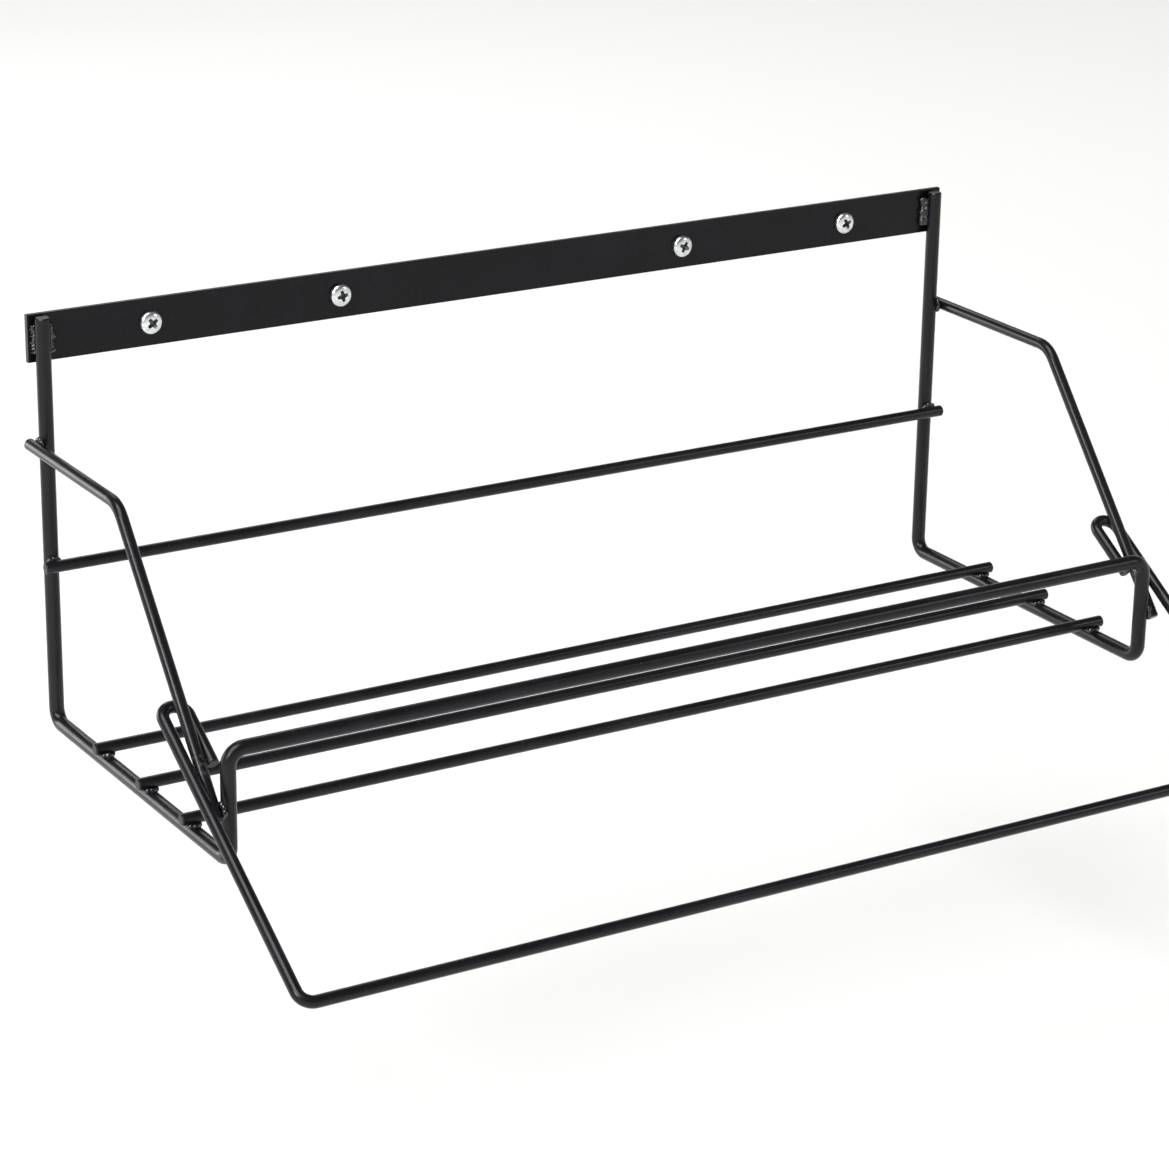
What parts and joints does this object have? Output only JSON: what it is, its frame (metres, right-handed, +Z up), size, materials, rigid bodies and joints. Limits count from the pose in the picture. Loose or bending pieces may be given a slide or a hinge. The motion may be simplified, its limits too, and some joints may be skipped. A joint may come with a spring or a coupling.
{
  "type": "wall rack",
  "caption": "Wall rack of black coated steel rod: flat screwed bar, bent frame, tray rods, back rod, side guards and a swinging front bail.",
  "frame": {"origin": "on the wall face, on the line of the four wall screws, midway between them", "axes": "+X along the wall to the viewer's right, -Y out into the room, +Y into the wall, +Z up"},
  "size_m": [0.5934, 0.3554, 0.2528],
  "materials": {
    "coated_rod": "semi-gloss black coating",
    "coated_bar": "semi-gloss black coating",
    "coated_weld": "black coating over rippled weld",
    "zinc_screw": "bright zinc plate"
  },
  "bodies": {
    "rack": {"wall_bar": "coated_bar", "frame_rod": "coated_rod", "back_rod": "coated_rod", "shelf_rod_rear": "coated_rod", "shelf_rod_middle": "coated_rod", "shelf_rod_front": "coated_rod", "guard_left": "coated_rod", "guard_right": "coated_rod", "wall_screw_1": "zinc_screw", "wall_screw_2": "zinc_screw", "wall_screw_3": "zinc_screw", "wall_screw_4": "zinc_screw", "weld_beads_bar": "coated_weld", "weld_beads_back_rod": "coated_weld", "weld_beads_shelf": "coated_weld", "weld_beads_guards": "coated_weld"},
    "bail": {"bail": "coated_rod"}
  },
  "joints": [
    {"name": "bail_swing", "type": "hinge", "parent": "rack", "child": "bail", "pos_m": [0, -0.19869, -0.16276], "axis": [-1, 0, 0], "range_deg": [-6, 130]}
  ]
}
